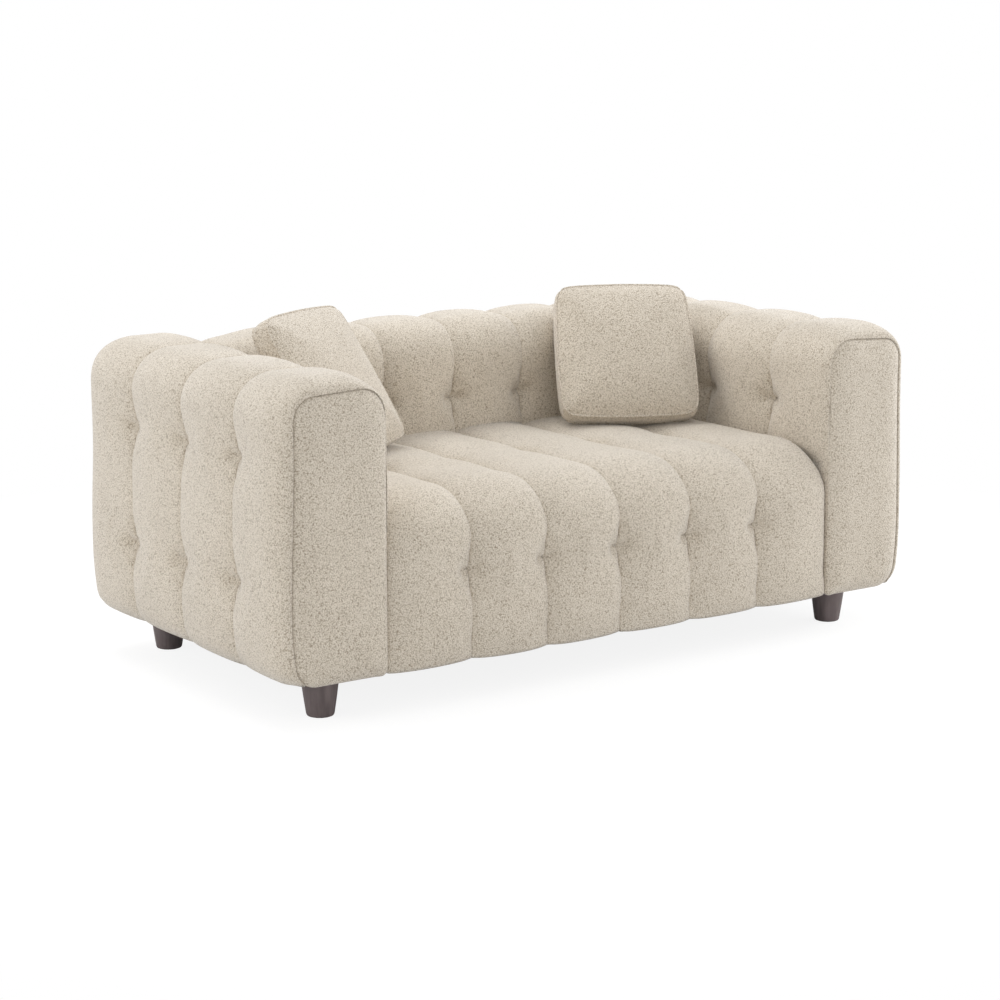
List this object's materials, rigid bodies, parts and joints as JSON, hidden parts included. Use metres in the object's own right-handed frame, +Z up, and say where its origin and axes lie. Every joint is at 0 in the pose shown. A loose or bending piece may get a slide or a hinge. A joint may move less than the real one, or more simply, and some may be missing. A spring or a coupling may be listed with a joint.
{
  "type": "tuxedo sofa",
  "caption": "Upholstered two-seat sofa with arms as high as its back, padded channels drawn in by tufts, short turned legs and loose scatter pillows.",
  "frame": {"origin": "on the floor, under the middle of the sofa's width and depth", "axes": "+X to the right as seen from the front, -Y towards the front of the seat, +Z up; left and right in node names are as seen from the front"},
  "size_m": [1.686, 0.9, 0.7726],
  "materials": {
    "boucle": "cream woven boucle with a short looped pile",
    "leg_wood": "dark brown-grey satin stain",
    "frame_timber": "sawn and planed softwood and plywood, unfinished",
    "hardboard": "brown pressed fibre board",
    "spring_wire": "drawn spring wire",
    "clip_steel": "pressed steel strap",
    "zinc_steel": "zinc plated",
    "deck_cloth": "woven hessian",
    "foam": "open-cell upholstery foam",
    "dust_cloth": "black non-woven cloth"
  },
  "bodies": {
    "sofa": {"seat_front_rail": "frame_timber", "seat_rear_rail": "frame_timber", "seat_left_rail": "frame_timber", "seat_right_rail": "frame_timber", "seat_cross_rails": "frame_timber", "corner_blocks": "frame_timber", "seat_springs": "spring_wire", "spring_clips": "clip_steel", "deck_cloth": "deck_cloth", "seat_core": "foam", "left_arm_base_board": "frame_timber", "left_arm_ribs": "frame_timber", "left_arm_tie_rail": "frame_timber", "left_arm_top_rail": "frame_timber", "left_arm_outer_panel": "hardboard", "left_arm_inner_panel": "hardboard", "right_arm_base_board": "frame_timber", "right_arm_ribs": "frame_timber", "right_arm_tie_rail": "frame_timber", "right_arm_top_rail": "frame_timber", "right_arm_outer_panel": "hardboard", "right_arm_inner_panel": "hardboard", "back_base_board": "frame_timber", "back_ribs": "frame_timber", "back_top_rail": "frame_timber", "back_front_panel": "hardboard", "back_rear_panel": "hardboard", "dust_cover": "dust_cloth", "front_left_leg": "leg_wood", "front_right_leg": "leg_wood", "rear_left_leg": "leg_wood", "rear_right_leg": "leg_wood", "leg_bolts": "zinc_steel", "leg_nuts": "zinc_steel", "frame_bolts": "zinc_steel", "left_arm_end_pads": "boucle", "right_arm_end_pads": "boucle", "seat_channel_1": "boucle", "seat_channel_2": "boucle", "seat_channel_3": "boucle", "seat_channel_4": "boucle", "seat_channel_5": "boucle", "seat_channel_6": "boucle", "back_channel_1": "boucle", "back_channel_2": "boucle", "back_channel_3": "boucle", "back_channel_4": "boucle", "back_channel_5": "boucle", "back_channel_6": "boucle", "left_arm_channel_1": "boucle", "left_arm_channel_2": "boucle", "left_arm_channel_3": "boucle", "left_arm_channel_4": "boucle", "right_arm_channel_1": "boucle", "right_arm_channel_2": "boucle", "right_arm_channel_3": "boucle", "right_arm_channel_4": "boucle"},
    "pillow_left": {"left_pillow": "boucle"},
    "pillow_right": {"right_pillow": "boucle"}
  },
  "joints": [
    {"name": "left_pillow_lift", "type": "slide", "parent": "sofa", "child": "pillow_left", "axis": [0, -0.5, 0.866], "range_m": [0, 0.4]},
    {"name": "right_pillow_lift", "type": "slide", "parent": "sofa", "child": "pillow_right", "axis": [0, -0.5, 0.866], "range_m": [0, 0.4]}
  ]
}
